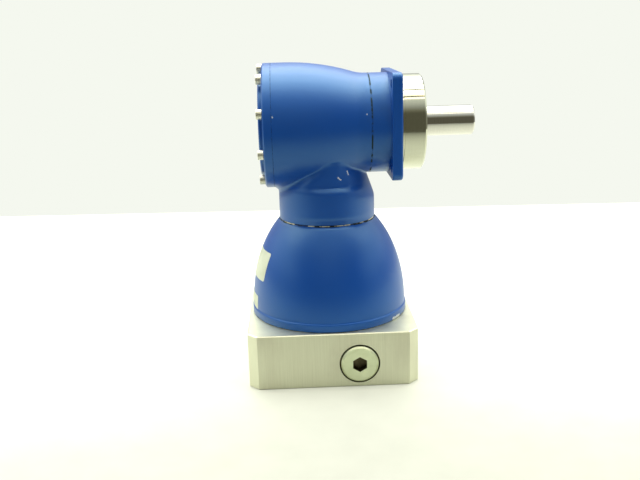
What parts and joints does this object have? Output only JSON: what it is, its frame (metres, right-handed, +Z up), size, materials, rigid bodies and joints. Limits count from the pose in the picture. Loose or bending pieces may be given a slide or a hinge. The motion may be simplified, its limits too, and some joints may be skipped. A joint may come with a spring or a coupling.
{
  "type": "right angle bevel gearbox",
  "caption": "Right angle servo gearbox: bell shaped input housing on a square motor plate, spiral bevel pair in a barrel housing, square output flange with pilot and plain shaft.",
  "frame": {"origin": "centre of the motor pilot recess on the motor face of the adapter plate", "axes": "+Z up along the input axis away from the motor, +X along the output shaft towards its free end"},
  "size_m": [0.1717, 0.1252, 0.229],
  "materials": {
    "paint": "semi-gloss blue paint on cast aluminium, light wear on edges",
    "plate_metal": "machined aluminium with fine milling lines",
    "screw_zinc": "bright zinc plated steel",
    "screw_black": "black oxide steel",
    "rubber": "black nitrile rubber",
    "bearing_steel": "ground bearing steel",
    "spring_steel": "phosphated spring steel",
    "bare_steel": "ground steel",
    "shaft_steel": "ground and polished shaft steel",
    "gear_steel": "case hardened gear steel",
    "nut_steel": "phosphated steel",
    "hub_metal": "turned aluminium",
    "bellows_steel": "formed stainless steel",
    "cage_brass": "machined brass"
  },
  "bodies": {
    "housing": {"gear_housing": "paint", "rear_cover": "paint", "rear_cover_screws": "screw_zinc", "rear_cover_o_ring": "rubber", "output_flange": "paint", "output_flange_screws": "screw_black", "output_flange_o_ring": "rubber", "output_seal": "rubber", "front_bearing_outer_ring": "bearing_steel", "front_bearing_circlip": "spring_steel", "rear_bearing_outer_ring": "bearing_steel", "upper_bearing_outer_ring": "bearing_steel", "lower_bearing_outer_ring": "bearing_steel", "outer_spacer": "bare_steel", "input_seal": "rubber", "adapter_bell": "paint", "bell_screws": "screw_black", "neck_shim": "bare_steel", "adapter_plate": "plate_metal", "plate_screws": "screw_black", "access_plug": "screw_zinc", "plug_washer": "bare_steel"},
    "output": {"output_shaft": "shaft_steel", "crown_gear": "gear_steel", "gear_hub": "bare_steel", "crown_gear_screws": "screw_black", "gear_key": "bare_steel", "thrust_ring": "bare_steel", "front_bearing_inner_ring": "bearing_steel", "rear_bearing_inner_ring": "bearing_steel", "shaft_lock_nut": "nut_steel"},
    "input": {"pinion_shaft": "gear_steel", "upper_bearing_inner_ring": "bearing_steel", "lower_bearing_inner_ring": "bearing_steel", "inner_spacer": "bare_steel", "pinion_lock_nut": "nut_steel", "coupling_upper_hub": "hub_metal", "upper_hub_screw": "screw_black", "coupling_bellows": "bellows_steel", "coupling_clamp_hub": "hub_metal", "clamp_screw": "screw_black"},
    "front_cage": {"front_bearing_balls": "bearing_steel", "front_bearing_cage": "cage_brass"},
    "rear_cage": {"rear_bearing_balls": "bearing_steel", "rear_bearing_cage": "cage_brass"},
    "upper_cage": {"upper_bearing_balls": "bearing_steel", "upper_bearing_cage": "cage_brass"},
    "lower_cage": {"lower_bearing_balls": "bearing_steel", "lower_bearing_cage": "cage_brass"}
  },
  "joints": [
    {"name": "output_spin", "type": "hinge", "parent": "housing", "child": "output", "pos_m": [0, 0, 0.18349], "axis": [1, 0, 0], "continuous": true},
    {"name": "input_spin", "type": "hinge", "parent": "housing", "child": "input", "pos_m": [0, 0, 0.09], "axis": [0, 0, 1], "continuous": true},
    {"name": "front_cage_spin", "type": "hinge", "parent": "housing", "child": "front_cage", "pos_m": [0.0505, 0, 0.18349], "axis": [1, 0, 0], "continuous": true},
    {"name": "rear_cage_spin", "type": "hinge", "parent": "housing", "child": "rear_cage", "pos_m": [-0.031, 0, 0.18349], "axis": [1, 0, 0], "continuous": true},
    {"name": "upper_cage_spin", "type": "hinge", "parent": "housing", "child": "upper_cage", "pos_m": [0, 0, 0.1375], "axis": [0, 0, 1], "continuous": true},
    {"name": "lower_cage_spin", "type": "hinge", "parent": "housing", "child": "lower_cage", "pos_m": [0, 0, 0.122], "axis": [0, 0, 1], "continuous": true}
  ],
  "couplings": [
    {"joint": "input_spin", "follows": "output_spin", "ratio": -3},
    {"joint": "front_cage_spin", "follows": "output_spin", "ratio": 0.39565},
    {"joint": "rear_cage_spin", "follows": "output_spin", "ratio": 0.40833},
    {"joint": "upper_cage_spin", "follows": "output_spin", "ratio": -1.225},
    {"joint": "lower_cage_spin", "follows": "output_spin", "ratio": -1.225}
  ]
}
